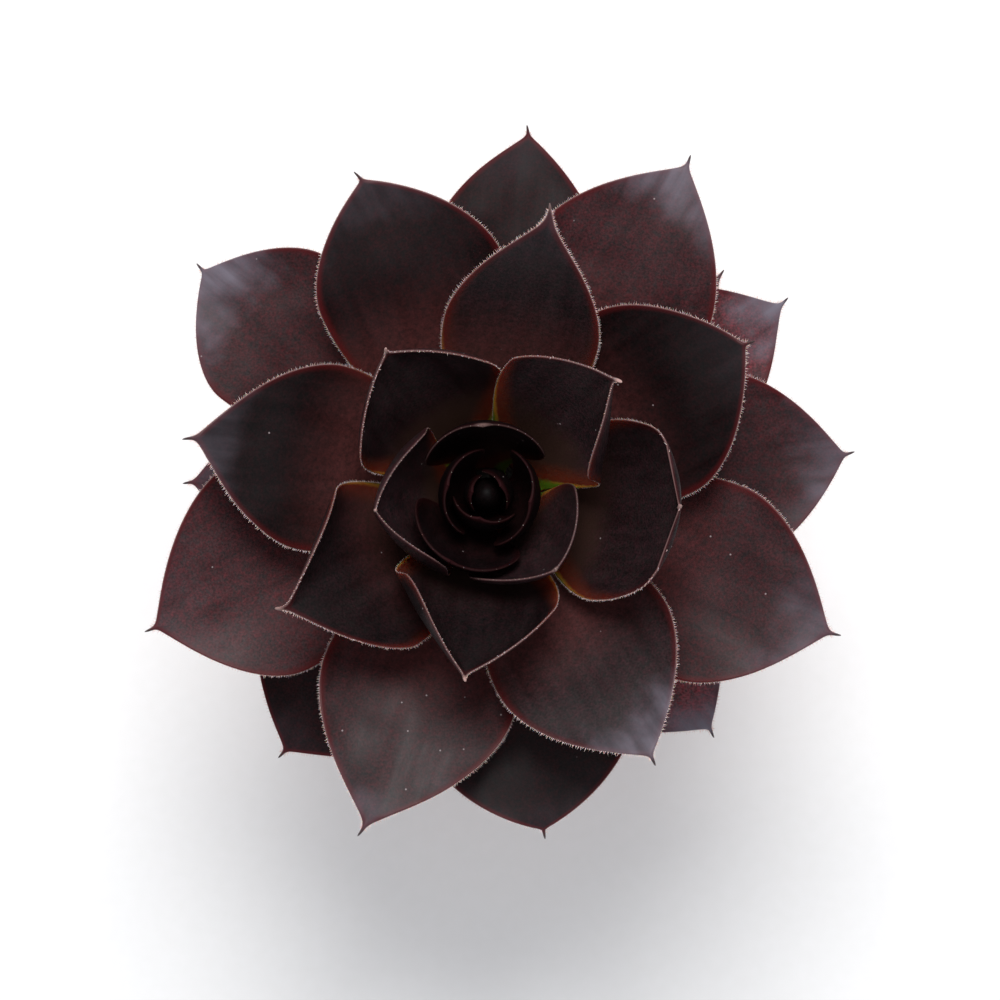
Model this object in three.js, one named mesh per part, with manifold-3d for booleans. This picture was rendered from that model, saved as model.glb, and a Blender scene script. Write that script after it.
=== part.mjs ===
import * as THREE from 'three';
import { mergeVertices } from 'three/addons/utils/BufferGeometryUtils.js';
import Module from 'manifold-3d';

// A potted aeonium: an open rosette of fleshy leaves on a bare stem, in soil, in a plain clay pot.
// Millimetres and degrees. +Z is up, and the origin is the middle of the pot's foot.

// ---------------------------------------------------------------- driving dimensions

const GAP = 0.3; // clearance between pieces that touch

// Leaves stand round the stem at the golden angle, each a little lower than the one before it.
const GOLDEN_ANGLE = 137.508;
const FIRST_AZIMUTH = 98; // direction of leaf 0, counter-clockwise from +X
const INTERNODE = 0.88; // height along the stem from one leaf to the next
const TOP_AGE = -6; // age of the youngest leaf base, at the stem's apex

// Every leaf by age: 0 is the youngest that stands free of the bud and negative ones are still in it.
// length is along the midrib and width is the widest, in mm, and widest is where, as a share of the
// length. rise is the slope of the leaf's middle above the horizontal, curl is how far it bends up
// towards its tip, turn is how far the leaf stands from its place by the golden angle, and sway is how
// far its tip leans aside, in degrees. fold is how far each margin is folded up towards the tip, as a
// share of the half width, the clockwise margin first. A taper below 1 keeps the leaf full near its tip.
const LEAF_DEFAULTS = { taper: 1, sway: 0, fold: [0.1, 0.1] };
const withDefaults = (leaf) => ({ ...LEAF_DEFAULTS, ...leaf });
const LEAVES = [
  { age: -4, length: 17.5, width: 15.5, widest: 0.6, rise: 84, curl: 78, turn: -34, fold: [0, 0] },
  { age: -3, length: 20.5, width: 21, widest: 0.6, rise: 78.5, curl: 67, turn: 16, fold: [0, 0] },
  { age: -2, length: 22, width: 23, widest: 0.6, rise: 79, curl: 70, turn: -23, fold: [0, 0] },
  { age: -1, length: 27, width: 25, widest: 0.6, rise: 69.5, curl: 51, turn: 6, fold: [0, 0] },
  { age: 0, length: 27, width: 26, widest: 0.6, rise: 73.5, curl: 59, turn: -5, fold: [0, 0] },
  { age: 1, length: 32, width: 30, widest: 0.66, rise: 66, curl: 38, turn: -8, fold: [0.3, 0.1] },
  { age: 2, length: 33, width: 34, widest: 0.7, rise: 64, curl: 34, turn: 5, fold: [0.4, 0.5] },
  { age: 3, length: 44, width: 31, widest: 0.74, rise: 56, curl: 2, turn: 0, sway: -2.5, fold: [1.1, 0.1] },
  { age: 4, length: 44.5, width: 35, widest: 0.72, rise: 54, curl: -4, turn: -5, fold: [1, 0.4] },
  { age: 5, length: 41.5, width: 35.5, widest: 0.76, rise: 54, curl: 8, turn: -5, fold: [0.4, 0.4] },
  { age: 6, length: 47, width: 35.5, widest: 0.62, taper: 0.08, rise: 54, curl: 36, turn: -2, sway: 5 },
  { age: 7, length: 49.5, width: 35, widest: 0.66, rise: 46, curl: -6, turn: -2, sway: -4, fold: [1.1, 0.1] },
  { age: 8, length: 56, width: 29.5, widest: 0.58, taper: 1.25, rise: 37, curl: -12, turn: 0.6, sway: -1.6 },
  { age: 9, length: 58.5, width: 36, widest: 0.62, taper: 0.9, rise: 34, curl: -14, turn: 1, sway: 1 },
  { age: 10, length: 56, width: 36, widest: 0.6, rise: 33, curl: -16, turn: 3.5, sway: 2.5 },
  { age: 11, length: 55, width: 39, widest: 0.66, taper: 0.8, rise: 31, curl: -16, turn: 5 },
  { age: 12, length: 63.5, width: 37.5, widest: 0.6, rise: 25, curl: -20, turn: 3, sway: -1 },
  { age: 13, length: 60, width: 36, widest: 0.68, taper: 0.8, rise: 23, curl: -20, turn: -2.4, sway: 3.6 },
  { age: 14, length: 65, width: 38.5, widest: 0.66, taper: 0.95, rise: 19, curl: -22, turn: 6, sway: -1 },
  { age: 15, length: 62.5, width: 42.5, widest: 0.66, taper: 0.95, rise: 18, curl: -22, turn: -1, sway: 8 },
  { age: 16, length: 67, width: 38, widest: 0.64, taper: 0.95, rise: 13, curl: -22, turn: -0.8, sway: 1.6 },
  { age: 17, length: 58, width: 42, widest: 0.68, taper: 0.72, rise: 11, curl: -22, turn: 1.8, sway: -2.8 },
  { age: 18, length: 62.2, width: 33.5, widest: 0.74, taper: 0.85, rise: 8, curl: -22, turn: -1 },
  { age: 19, length: 62, width: 37, widest: 0.66, taper: 0.9, rise: 5, curl: -22, turn: 1.7, sway: -0.8 },
  { age: 20, length: 56, width: 42, widest: 0.66, rise: 0, curl: -20, turn: 2.4, sway: 1.6 },
  { age: 21, length: 63, width: 35, widest: 0.6, taper: 0.85, rise: 0, curl: -20, turn: -7 },
  { age: 22, length: 56, width: 36, widest: 0.6, taper: 0.9, rise: -4, curl: -18, turn: 4.3, sway: -3.5 },
  { age: 23, length: 51, width: 34, widest: 0.6, rise: -5, curl: -16, turn: 2 },
  { age: 24, length: 62, width: 35, widest: 0.6, rise: -6, curl: -16, turn: -5 },
  { age: 25, length: 48, width: 31, widest: 0.6, rise: -7, curl: -14, turn: 0 },
  { age: 26, length: 47, width: 31, widest: 0.6, rise: -8, curl: -14, turn: 0 },
  { age: 37, length: 57, width: 29, widest: 0.6, rise: -9, curl: -10, turn: -7 },
].map(withDefaults);

// The growing tip is too tight to part: its last leaves are closed over a small core.
const TIP_LEAVES = [
  { age: -5, length: 14, width: 11, widest: 0.6, rise: 86, curl: 74, turn: -34, fold: [0, 0] },
  { age: -6, length: 11.5, width: 8, widest: 0.6, rise: 86, curl: 66, turn: -34, fold: [0, 0] },
].map(withDefaults);
// Radius and height of the core's outline, from just above the stem's apex.
const TIP_CORE = [[0, 0.3], [2.2, 0.3], [3, 0.8], [3.2, 2.5], [2.8, 6], [1.6, 8.5], [0, 9]];
const TIP_CORE_SIDES = 16;

// Outline of a leaf. base is the half width at its foot, as a share of the widest. A low shoulder has
// square corners where it is widest and a high one is round, and a high point tapers more to its tip.
const LEAF_SWELL = 0.9; // a lower swell widens sooner
const LEAF_OUTLINES = [
  { upToAge: 0, base: 0.3, shoulder: 2, point: 1.5 },
  { upToAge: 7, base: 0.4, shoulder: 1.6, point: 1.4 },
  { upToAge: Infinity, base: 0.4, shoulder: 2, point: 1.3 },
];
const FOLD_FROM = 0.5; // share of the length where the fold of the margins starts
const LEAF_TIP_HALF_WIDTH = 0.35; // mm, where the point is cut off
const LEAF_EDGE_THICKNESS = 0.7;
const LEAF_MIDDLE_THICKNESS = { young: 1.2, youngAge: -5, grown: 2.3, grownAge: 12 };
const LEAF_TIP_THINNING = 0.62; // share of the middle's thickness lost at the tip
const MARGIN_LIFT = 0.07; // how far the margins stand up, as a share of the half width
const LEAF_ROWS = [0, 0.13, 0.27, 0.41, 0.53, 0.64, 0.75, 0.85, 0.93, 1];
const LEAF_COLUMNS = [-1, -0.72, -0.38, 0, 0.38, 0.72, 1];

// Stem
const STEM_RADIUS = 7;
const STEM_APEX_RADIUS = 0.8;
const STEM_DOME_LEAVES = 14; // number of leaf bases on the domed end
const STEM_DOME_ROWS = 6;
const STEM_DOME_POINT = 1.1; // 1 is a round dome, and more is a pointed one
const STEM_DOME_CROWDING = 1.6; // how much closer the rows lie towards the apex
const STEM_SIDES = 24;
const BARK_ROWS = 20;
const BARK_BELOW_SOIL = 2.7;
const OLDEST_FULL_WHORL = 26; // leaves older than this have dropped, but for one
const SCAR = { width: 7.5, height: 3.2, relief: 0.45, softness: 0.25 };

// Pot and soil
const POT = {
  height: 80,
  topRadius: 45,
  mouthRadius: 38.5,
  footRadius: 30,
  floorRadius: 25.5,
  floor: 6,
  bodyTopRadius: 42.4,
  bandHeight: 18,
  bandDepth: 3.8,
  round: 1.4,
  drainRadius: 5,
  sides: 48,
};
const RIM_TO_APEX = 53; // from the pot's rim up to the stem's apex
const SOIL_BELOW_RIM = 10;
const SOIL_LUMP = 0.9;
const SOIL_WAVES = [4.1, 5.3, 7.7, 9.1]; // mm for each radian of the four crossing waves
const SOIL_RINGS = [0.86, 0.7, 0.55, 0.42, 0.28, 0.14]; // shares of the soil's radius
const STEM_HOLE_DEPTH = 32;

const COLOURS = {
  leaf: { color: '#3d2b2f', roughness: 0.5, metalness: 0 },
  stem: { color: '#6b5a48', roughness: 0.85, metalness: 0 },
  soil: { color: '#2e241c', roughness: 1, metalness: 0 },
  pot: { color: '#a85f41', roughness: 0.9, metalness: 0 },
};

// ---------------------------------------------------------------- meshes from grids

const wasm = await Module();
wasm.setup();

const radians = THREE.MathUtils.degToRad;
const part = new THREE.Group();

// Vertices are [x, y, z]; faces are triangles, counter-clockwise from outside.
function geometryFrom(vertices, faces) {
  const geometry = new THREE.BufferGeometry();
  geometry.setAttribute('position', new THREE.Float32BufferAttribute(vertices.flat(), 3));
  geometry.setIndex(faces.flat());
  return geometry;
}

// Two triangles for a square of a grid, split across a-c.
function square(a, b, c, d) {
  return [[a, b, c], [a, c, d]];
}

// Closed surface of revolution whose rings may be uneven: rings[i](azimuth) gives [radius, z].
// The first and the last ring lie on the axis, and the rings run up the outside.
function turnedGeometry(rings, sides) {
  const vertices = [];
  const faces = [];
  const inner = rings.slice(1, -1);
  const azimuths = Array.from({ length: sides }, (_, i) => (i / sides) * 2 * Math.PI);
  for (const ring of inner) {
    for (const azimuth of azimuths) {
      const [radius, z] = ring(azimuth);
      vertices.push([radius * Math.cos(azimuth), radius * Math.sin(azimuth), z]);
    }
  }
  const first = vertices.push([0, 0, rings[0](0)[1]]) - 1;
  const last = vertices.push([0, 0, rings.at(-1)(0)[1]]) - 1;
  for (let side = 0; side < sides; side += 1) {
    const next = (side + 1) % sides;
    faces.push([first, next, side]);
    for (let row = 0; row + 1 < inner.length; row += 1) {
      const low = row * sides;
      const high = low + sides;
      faces.push(...square(low + side, low + next, high + next, high + side));
    }
    const top = (inner.length - 1) * sides;
    faces.push([top + side, top + next, last]);
  }
  return geometryFrom(vertices, faces);
}

function addMesh(group, name, geometry, finish) {
  const mesh = new THREE.Mesh(geometry, new THREE.MeshStandardMaterial(finish));
  mesh.name = name;
  group.add(mesh);
}

// Shared corners are merged by place alone.
function welded(geometry) {
  geometry.deleteAttribute('normal');
  geometry.deleteAttribute('uv');
  return mergeVertices(geometry);
}

function solidOf(geometry) {
  const merged = welded(geometry);
  return new wasm.Manifold(new wasm.Mesh({
    numProp: 3,
    vertProperties: new Float32Array(merged.attributes.position.array),
    triVerts: new Uint32Array(merged.index.array),
  }));
}

function geometryOf(solid) {
  const mesh = solid.getMesh();
  const geometry = new THREE.BufferGeometry();
  geometry.setAttribute('position', new THREE.BufferAttribute(mesh.vertProperties, 3));
  geometry.setIndex(new THREE.BufferAttribute(mesh.triVerts, 1));
  return geometry;
}

// ---------------------------------------------------------------- stem

// Height of a leaf's base below the stem's apex, and the stem's radius there.
function baseHeight(age) {
  return -INTERNODE * (age - TOP_AGE);
}

function stemRadius(height) {
  const onDome = Math.min(-height / (INTERNODE * STEM_DOME_LEAVES), 1);
  const bulge = Math.sin(onDome * Math.PI / 2) ** STEM_DOME_POINT;
  return STEM_APEX_RADIUS + (STEM_RADIUS - STEM_APEX_RADIUS) * bulge;
}

function leafAzimuth(age) {
  return radians(FIRST_AZIMUTH - GOLDEN_ANGLE * age);
}

// ---------------------------------------------------------------- leaves

// Half width of the leaf at a share of its length: it swells from the base, then tapers to the tip.
function halfWidthAt(leaf, along) {
  const { base, shoulder, point } = LEAF_OUTLINES.find(({ upToAge }) => leaf.age <= upToAge);
  if (along < leaf.widest) {
    const swell = Math.sin((along / leaf.widest) ** LEAF_SWELL * Math.PI / 2) ** 2;
    return THREE.MathUtils.lerp(base, 1, swell) * leaf.width / 2;
  }
  const toTip = (along - leaf.widest) / (1 - leaf.widest);
  const taper = (1 - toTip ** shoulder) ** (point * leaf.taper);
  return Math.max(taper * leaf.width / 2, LEAF_TIP_HALF_WIDTH);
}

function middleThickness(age) {
  const { young, youngAge, grown, grownAge } = LEAF_MIDDLE_THICKNESS;
  const thickness = THREE.MathUtils.mapLinear(age, youngAge, grownAge, young, grown);
  return THREE.MathUtils.clamp(thickness, young, grown);
}

function leafThickness(age, along, across) {
  const middle = Math.max(middleThickness(age) * (1 - LEAF_TIP_THINNING * along ** 3), LEAF_EDGE_THICKNESS);
  return LEAF_EDGE_THICKNESS + (middle - LEAF_EDGE_THICKNESS) * (1 - across ** 2);
}

// A point on the leaf's middle surface. The midrib is an arc in the plane of the stem's axis, and the
// leaf curves round that axis, so that leaves at different slopes nest without touching.
function leafPoint(leaf, along, across) {
  const start = radians(leaf.rise - leaf.curl / 2);
  const bend = radians(leaf.curl);
  const slope = start + bend * along;
  const half = middleThickness(leaf.age) / 2;
  const seatHeight = baseHeight(leaf.age);
  const seatRadius = stemRadius(Math.min(seatHeight + half * Math.cos(start), 0)) + GAP
    + half * Math.abs(Math.sin(start));
  const radius = seatRadius + leaf.length * (Math.sin(slope) - Math.sin(start)) / bend;
  const rise = leaf.length * (Math.cos(start) - Math.cos(slope)) / bend;
  const halfWidth = halfWidthAt(leaf, along);
  const middle = leafAzimuth(leaf.age) + radians(leaf.turn + leaf.sway * along ** 2);
  const azimuth = middle + across * halfWidth / radius;
  const lift = MARGIN_LIFT * Math.cos(start) ** 2 * along * halfWidth * across ** 2;
  const fold = leaf.fold[across < 0 ? 0 : 1] * THREE.MathUtils.smoothstep(along, FOLD_FROM, 1);
  const raised = fold * halfWidth * across ** 2;
  const reach = radius - raised * Math.sin(slope);
  return new THREE.Vector3(
    reach * Math.cos(azimuth),
    reach * Math.sin(azimuth),
    seatHeight + rise + lift + raised * Math.cos(slope),
  );
}

function leafNormal(leaf, along, across) {
  const step = 0.01;
  const a = Math.min(along, 1 - step);
  const before = leafPoint(leaf, Math.max(a - step, 0), across);
  const lengthways = leafPoint(leaf, a + step, across).sub(before);
  const b = Math.max(Math.min(across, 1 - step), step - 1);
  const crossways = leafPoint(leaf, along, b + step).sub(leafPoint(leaf, along, b - step));
  return lengthways.cross(crossways).normalize();
}

function leafGeometry(leaf) {
  const vertices = [];
  const faces = [];
  const columns = LEAF_COLUMNS.length;
  const perSide = LEAF_ROWS.length * columns;
  for (const side of [1, -1]) {
    for (const along of LEAF_ROWS) {
      for (const across of LEAF_COLUMNS) {
        const offset = side * leafThickness(leaf.age, along, across) / 2;
        const point = leafPoint(leaf, along, across);
        vertices.push(point.addScaledVector(leafNormal(leaf, along, across), offset).toArray());
      }
    }
  }
  for (let row = 0; row + 1 < LEAF_ROWS.length; row += 1) {
    for (let column = 0; column + 1 < columns; column += 1) {
      const a = row * columns + column;
      const [b, c, d] = [a + columns, a + columns + 1, a + 1];
      faces.push(...square(a, b, c, d));
      faces.push(...square(d + perSide, c + perSide, b + perSide, a + perSide));
    }
  }
  const rim = [];
  for (let column = 0; column + 1 < columns; column += 1) {
    rim.push(column);
  }
  for (let row = 0; row + 1 < LEAF_ROWS.length; row += 1) {
    rim.push(row * columns + columns - 1);
  }
  for (let column = columns - 1; column > 0; column -= 1) {
    rim.push((LEAF_ROWS.length - 1) * columns + column);
  }
  for (let row = LEAF_ROWS.length - 1; row > 0; row -= 1) {
    rim.push(row * columns);
  }
  rim.forEach((a, i) => {
    const b = rim[(i + 1) % rim.length];
    faces.push(...square(a, b, b + perSide, a + perSide));
  });
  return geometryFrom(vertices, faces);
}

// ---------------------------------------------------------------- rosette

const plant = new THREE.Group();
part.add(plant);

LEAVES.forEach((leaf, i) => {
  addMesh(plant, `leaf_${String(i + 1).padStart(2, '0')}`, leafGeometry(leaf), COLOURS.leaf);
});

function growingTipGeometry() {
  const core = new THREE.LatheGeometry(TIP_CORE.map(([x, z]) => new THREE.Vector2(x, z)), TIP_CORE_SIDES);
  core.rotateX(Math.PI / 2);
  const closed = TIP_LEAVES.reduce((solid, leaf) => solid.add(solidOf(leafGeometry(leaf))), solidOf(core));
  return geometryOf(closed);
}

addMesh(plant, 'growing_tip', growingTipGeometry(), COLOURS.leaf);

// The rosette leans out unevenly, and it is the middle of its spread that stands over the pot.
const spread = new THREE.Box3().setFromObject(plant);
const apex = new THREE.Vector3(
  -(spread.min.x + spread.max.x) / 2,
  -(spread.min.y + spread.max.y) / 2,
  POT.height + RIM_TO_APEX,
);
plant.position.copy(apex);

// ---------------------------------------------------------------- stem

const soilTop = POT.height - SOIL_BELOW_RIM;
const stemFoot = soilTop - STEM_HOLE_DEPTH + GAP - apex.z;
const oldestScar = Math.floor((apex.z - soilTop) / INTERNODE) + TOP_AGE;
const barkFoot = soilTop - apex.z - BARK_BELOW_SOIL;

// Bare bark below the leaves shows an oval scar where each old leaf stood.
function barkRadius(azimuth, height) {
  let nearest = Infinity;
  for (let age = OLDEST_FULL_WHORL + 1; age <= oldestScar; age += 1) {
    const turn = azimuth - leafAzimuth(age);
    const across = STEM_RADIUS * Math.atan2(Math.sin(turn), Math.cos(turn)) / (SCAR.width / 2);
    const along = (height - baseHeight(age)) / (SCAR.height / 2);
    nearest = Math.min(nearest, Math.hypot(across, along));
  }
  const hollow = THREE.MathUtils.smoothstep(nearest, 1 - SCAR.softness, 1 + SCAR.softness);
  return STEM_RADIUS - SCAR.relief * hollow;
}

function stemGeometry() {
  const leafyFrom = baseHeight(OLDEST_FULL_WHORL) - SCAR.height;
  const domeFrom = baseHeight(TOP_AGE + STEM_DOME_LEAVES);
  const rings = [() => [0, stemFoot], () => [STEM_RADIUS - SCAR.relief, stemFoot]];
  for (let i = 0; i <= BARK_ROWS; i += 1) {
    const height = THREE.MathUtils.lerp(barkFoot, leafyFrom, i / BARK_ROWS);
    rings.push((azimuth) => [barkRadius(azimuth, height), height]);
  }
  for (let i = 0; i <= STEM_DOME_ROWS; i += 1) {
    const height = domeFrom * (1 - i / STEM_DOME_ROWS) ** STEM_DOME_CROWDING;
    rings.push(() => [stemRadius(height), height]);
  }
  rings.push(() => [0, 0]);
  return turnedGeometry(rings, STEM_SIDES);
}

addMesh(plant, 'stem', stemGeometry(), COLOURS.stem);

// ---------------------------------------------------------------- pot

function potBodyRadius(z) {
  return THREE.MathUtils.mapLinear(z, 0, POT.height, POT.footRadius, POT.bodyTopRadius);
}

function potInnerRadius(z) {
  return THREE.MathUtils.mapLinear(z, POT.floor, POT.height, POT.floorRadius, POT.mouthRadius);
}

// Points of a rounded corner, from one angle to another.
function corner(x, z, from, to) {
  return [0, 0.5, 1].map((share) => {
    const angle = radians(THREE.MathUtils.lerp(from, to, share));
    return new THREE.Vector2(x + POT.round * Math.cos(angle), z + POT.round * Math.sin(angle));
  });
}

function potGeometry() {
  const bandFoot = POT.height - POT.bandHeight;
  const bandRadius = potBodyRadius(bandFoot) + POT.bandDepth;
  const section = [
    new THREE.Vector2(POT.drainRadius, POT.floor),
    new THREE.Vector2(POT.drainRadius, 0),
    ...corner(POT.footRadius - POT.round, POT.round, -90, 0),
    new THREE.Vector2(potBodyRadius(bandFoot), bandFoot),
    ...corner(bandRadius - POT.round, bandFoot + POT.round, -90, 0),
    ...corner(POT.topRadius - POT.round, POT.height - POT.round, 0, 90),
    ...corner(POT.mouthRadius + POT.round, POT.height - POT.round, 90, 180),
    new THREE.Vector2(POT.floorRadius, POT.floor),
    new THREE.Vector2(POT.drainRadius, POT.floor),
  ];
  const geometry = new THREE.LatheGeometry(section, POT.sides);
  geometry.rotateX(Math.PI / 2);
  return welded(geometry);
}

addMesh(part, 'pot', potGeometry(), COLOURS.pot);

// ---------------------------------------------------------------- soil

// Lumps of soil, as waves that cross.
function soilHeight(x, y) {
  const [a, b, c, d] = SOIL_WAVES;
  const waves = Math.sin(x / a + 1) * Math.cos(y / b) + Math.sin((x + y) / c) + Math.cos((x - 2 * y) / d);
  return soilTop + SOIL_LUMP * waves / 2;
}

function soilGeometry() {
  const foot = POT.floor + GAP;
  const edge = soilTop - SOIL_LUMP;
  const edgeRadius = potInnerRadius(edge) - GAP;
  const rings = [
    () => [0, foot],
    () => [potInnerRadius(foot) - GAP, foot],
    () => [edgeRadius, edge],
  ];
  for (const share of SOIL_RINGS) {
    const radius = edgeRadius * share;
    rings.push((azimuth) => [radius, soilHeight(radius * Math.cos(azimuth), radius * Math.sin(azimuth))]);
  }
  rings.push(() => [0, soilHeight(0, 0)]);
  const holeRadius = STEM_RADIUS + GAP;
  const hole = new THREE.CylinderGeometry(holeRadius, holeRadius, 2 * STEM_HOLE_DEPTH, STEM_SIDES);
  hole.rotateX(Math.PI / 2);
  hole.translate(apex.x, apex.y, soilTop);
  return geometryOf(solidOf(turnedGeometry(rings, POT.sides)).subtract(solidOf(hole)));
}

addMesh(part, 'soil', soilGeometry(), COLOURS.soil);

export default part;
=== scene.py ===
import math
from collections import namedtuple
from types import SimpleNamespace

import bpy
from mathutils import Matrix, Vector, noise


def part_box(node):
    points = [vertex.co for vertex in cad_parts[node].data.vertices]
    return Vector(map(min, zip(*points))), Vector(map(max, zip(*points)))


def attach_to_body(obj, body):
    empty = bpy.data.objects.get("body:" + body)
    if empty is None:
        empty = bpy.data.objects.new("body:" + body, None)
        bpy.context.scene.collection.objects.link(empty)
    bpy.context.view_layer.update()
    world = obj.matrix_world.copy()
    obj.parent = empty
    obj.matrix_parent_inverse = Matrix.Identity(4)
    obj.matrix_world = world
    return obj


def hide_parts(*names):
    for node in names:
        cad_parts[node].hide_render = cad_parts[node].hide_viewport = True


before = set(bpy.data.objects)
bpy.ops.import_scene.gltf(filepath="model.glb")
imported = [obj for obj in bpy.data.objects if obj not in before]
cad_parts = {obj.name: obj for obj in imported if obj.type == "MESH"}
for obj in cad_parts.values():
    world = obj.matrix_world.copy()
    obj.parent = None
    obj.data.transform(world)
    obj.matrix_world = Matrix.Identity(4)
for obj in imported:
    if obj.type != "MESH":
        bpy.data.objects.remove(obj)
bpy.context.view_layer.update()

# A potted aeonium: an open rosette of fleshy leaves on a bare stem, in soil, in a plain clay pot.
# Sizes are millimetres and degrees until they reach a mesh, which is in metres.

MM = 0.001

# ---------------------------------------------------------------- sizes of the plant

GAP = 0.3
GOLDEN_ANGLE = 137.508
FIRST_AZIMUTH = 98
INTERNODE = 0.88
TOP_AGE = -6

# One leaf by age, 0 being the youngest that stands free of the bud. A taper below 1 keeps it full near
# its tip. fold is how far each margin is folded up towards the tip, the clockwise one first. lean is how
# many mm the mucro hooks aside. tone is how light the leaf is beside others of its age: partly its own
# lightness, partly painted shade where other leaves shade it or it faces away from the light, and painted
# light where it faces the light; the low tones of the bud leaves are painted shade. bloom is how much of
# the grey wax at its tip is left, and also painted sheen where the tip catches the light.
Leaf = namedtuple("Leaf", "age length width widest taper rise curl turn sway fold lean tone bloom")
LEAVES = [
    Leaf(-4, 17.5, 15.5, 0.6, 1, 84, 78, -34, 0, (0, 0), 0, 0.35, 0),
    Leaf(-3, 20.5, 21, 0.6, 1, 78.5, 67, 16, 0, (0, 0), 0, 0.35, 0),
    Leaf(-2, 22, 23, 0.6, 1, 79, 70, -23, 0, (0, 0), 0, 0.4, 0),
    Leaf(-1, 27, 25, 0.6, 1, 69.5, 51, 6, 0, (0, 0), 0, 0.5, 0),
    Leaf(0, 27, 26, 0.6, 1, 73.5, 59, -5, 0, (0, 0), 0, 0.5, 0),
    Leaf(1, 32, 30, 0.66, 1, 66, 38, -8, 0, (0.3, 0.1), 0, 1.7, 0),
    Leaf(2, 33, 34, 0.7, 1, 64, 34, 5, 0, (0.4, 0.5), 0, 1.8, 0),
    Leaf(3, 44, 31, 0.74, 1, 56, 2, 0, -2.5, (1.1, 0.1), -1.8, 1.5, 0),
    Leaf(4, 44.5, 35, 0.72, 1, 54, -4, -5, 0, (1, 0.4), 0.4, 0.7, 0),
    Leaf(5, 41.5, 35.5, 0.76, 1, 54, 8, -5, 0, (0.4, 0.4), -0.6, 1.1, 0),
    Leaf(6, 47, 35.5, 0.62, 0.08, 54, 36, -2, 5, (0.1, 0.1), 0.6, 1.45, 0),
    Leaf(7, 49.5, 35, 0.66, 1, 46, -6, -2, -4, (1.1, 0.1), -0.8, 0.8, 0),
    Leaf(8, 56, 29.5, 0.58, 1.25, 37, -12, 0.6, -1.6, (0.1, 0.1), 0.8, 1, 0.2),
    Leaf(9, 58.5, 36, 0.62, 0.9, 34, -14, 1, 1, (0.1, 0.1), -0.5, 1.3, 1.1),
    Leaf(10, 56, 36, 0.6, 1, 33, -16, 3.5, 2.5, (0.1, 0.1), 0.7, 0.45, 0.35),
    Leaf(11, 55, 39, 0.66, 0.8, 31, -16, 5, 0, (0.1, 0.1), -0.6, 0.3, 0.05),
    Leaf(12, 63.5, 37.5, 0.6, 1, 25, -20, 3, -1, (0.1, 0.1), -0.7, 0.87, 0.35),
    Leaf(13, 60, 36, 0.68, 0.8, 23, -20, -2.4, 3.6, (0.1, 0.1), 0.8, 0.3, 0.2),
    Leaf(14, 65, 38.5, 0.66, 0.95, 19, -22, 6, -1, (0.1, 0.1), 0.6, 0.8, 0.6),
    Leaf(15, 62.5, 42.5, 0.66, 0.95, 18, -22, -1, 8, (0.1, 0.1), -0.8, 1.1, 0.1),
    Leaf(16, 67, 38, 0.64, 0.95, 13, -22, -0.8, 1.6, (0.1, 0.1), 0.5, 0.9, 0.9),
    Leaf(17, 58, 42, 0.68, 0.72, 11, -22, 1.8, -2.8, (0.1, 0.1), 0.3, 0.3, 0.1),
    Leaf(18, 62.2, 33.5, 0.74, 0.85, 8, -22, -1, 0, (0.1, 0.1), -0.5, 0.85, 1.2),
    Leaf(19, 62, 37, 0.66, 0.9, 5, -22, 1.7, -0.8, (0.1, 0.1), 0.6, 0.8, 0.7),
    Leaf(20, 56, 42, 0.66, 1, 0, -20, 2.4, 1.6, (0.1, 0.1), -0.4, 0.38, 0.1),
    Leaf(21, 63, 35, 0.6, 0.85, 0, -20, -7, 0, (0.1, 0.1), 0.7, 0.3, 0.1),
    Leaf(22, 56, 36, 0.6, 0.9, -4, -18, 4.3, -3.5, (0.1, 0.1), -0.6, 3.6, 1.5),
    Leaf(23, 51, 34, 0.6, 1, -5, -16, 2, 0, (0.1, 0.1), 0.5, 0.8, 0.5),
    Leaf(24, 62, 35, 0.6, 1, -6, -16, -5, 0, (0.1, 0.1), 0.6, 2.2, 1.5),
    Leaf(25, 48, 31, 0.6, 1, -7, -14, 0, 0, (0.1, 0.1), -0.5, 0.8, 0.5),
    Leaf(26, 47, 31, 0.6, 1, -8, -14, 0, 0, (0.1, 0.1), 0.4, 0.8, 0.5),
    Leaf(37, 57, 29, 0.6, 1, -9, -10, -7, 0, (0.1, 0.1), 0.5, 0.8, 0.5),
]
TIP_LEAVES = [
    Leaf(-5, 14, 11, 0.6, 1, 86, 74, -34, 0, (0, 0), 0, 0.3, 0),
    Leaf(-6, 11.5, 8, 0.6, 1, 86, 66, -34, 0, (0, 0), 0, 0.3, 0),
]
# The core inside the closed leaves: each ring's radius and height above the stem, and its two ends.
TIP_CORE = [(2.2, 0.3), (3, 0.8), (3.2, 2.5), (2.8, 6), (1.6, 8.5)]
TIP_CORE_ENDS = (0.3, 9)
TIP_CORE_SIDES = 32

# A leaf's outline: how wide its base is beside its widest place, how full its shoulder is, and how drawn
# out its point. A SWELL below 1 makes it widen sooner.
SWELL = 0.9
BUD_OUTLINE = {"base": 0.3, "shoulder": 2, "point": 1.5}
YOUNG_OUTLINE = {"base": 0.4, "shoulder": 1.6, "point": 1.4}
GROWN_OUTLINE = {"base": 0.4, "shoulder": 2, "point": 1.3}
LAST_BUD_AGE = 0
LAST_YOUNG_AGE = 7
OPENING = (-1, 3)  # the ages over which a leaf's point comes free
GROWING_UP = (4, 12)  # the ages over which its hook and its waves turn into a grown leaf's
TIP_HOOK = {"young": 0.9, "grown": -0.5}  # how far the tip is bent up, or down
WAVINESS = {"young": 0.1, "grown": 0.35}
FOLD_FROM = 0.5  # the share of the length where the margins begin to fold up
MARGIN_LIFT = 0.07
MIDDLE_THICKNESS = {"young": 1.2, "young_age": -5, "grown": 2.3, "grown_age": 12}
TIP_THINNING = 0.62
EDGE_THICKNESS = 0.45
TIP_ROUND = 0.5
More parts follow.
